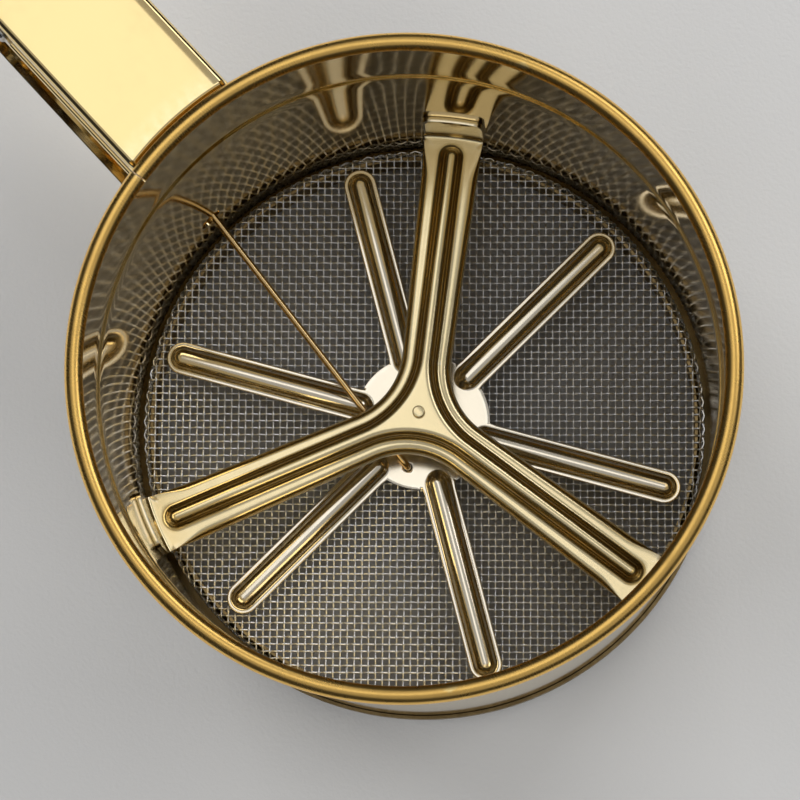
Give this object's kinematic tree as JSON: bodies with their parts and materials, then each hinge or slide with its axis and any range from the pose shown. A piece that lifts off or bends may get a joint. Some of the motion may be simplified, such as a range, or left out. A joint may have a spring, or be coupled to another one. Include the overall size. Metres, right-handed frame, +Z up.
{
  "type": "flour sifter",
  "caption": "One-hand flour sifter: round cup with a rolled rim, woven screen, arm agitator under a three-arm bracket, and a D handle with a squeeze trigger.",
  "frame": {"origin": "centre of the base, on the cup's axis, in the plane that the base ring stands on", "axes": "+Z up along the cup's axis towards the mouth, +X from the cup's axis out along the handle, +Y to the left of the handle seen from its grip towards the cup's far side"},
  "size_m": [0.158, 0.1, 0.072],
  "materials": {
    "gold_outer": "mirror-polished gold coating on stainless steel sheet",
    "gold_rim": "polished gold coating on a rolled steel edge",
    "gold_bracket": "polished pale gold coating on pressed stainless steel",
    "gold_agitator": "bright pale gold coating on pressed stainless steel",
    "gold_wire": "drawn wire with a gold coating",
    "steel_mesh": "plain woven stainless wire",
    "steel_pin": "turned stainless steel",
    "steel_washer": "stamped stainless steel",
    "spring_steel": "bright spring wire"
  },
  "bodies": {
    "housing": {"cup_body": "gold_outer", "rim_ring": "gold_rim", "base_ring": "gold_outer", "mesh_screen": "steel_mesh", "spider": "gold_bracket", "spindle": "gold_bracket", "spacer_sleeve": "steel_pin", "upper_washer": "steel_washer", "lower_washer": "steel_washer", "spindle_clip": "spring_steel", "handle_shell": "gold_outer", "trigger_pin": "steel_pin", "pin_washers": "steel_washer", "pin_clip": "steel_washer", "return_spring": "spring_steel"},
    "agitator_body": {"agitator": "gold_agitator", "agitator_bush": "steel_pin"},
    "rod": {"pull_rod": "gold_wire"},
    "trigger_body": {"trigger": "gold_outer"}
  },
  "joints": [
    {"name": "trigger_squeeze", "type": "hinge", "parent": "housing", "child": "trigger_body", "pos_m": [0.0806, 0, 0.064], "axis": [0, -1, 0], "range_deg": [0, 11.68], "stiffness_Nm_per_rad": 0.35, "springref_deg": -8.59, "deforming": ["return_spring"]},
    {"name": "agitator_turn", "type": "hinge", "parent": "housing", "child": "agitator_body", "pos_m": [0, 0, 0.011], "axis": [0, 0, -1], "range_deg": [0, 60.05]},
    {"name": "rod_hook", "type": "hinge", "parent": "agitator_body", "child": "rod", "pos_m": [-0.00392, 0.0068, 0.011], "axis": [0, 0, -1], "range_deg": [-60.05, 0]}
  ],
  "couplings": [
    {"joint": "agitator_turn", "follows": "trigger_squeeze", "ratio": 5.1392},
    {"joint": "rod_hook", "follows": "trigger_squeeze", "ratio": -5.1392}
  ]
}
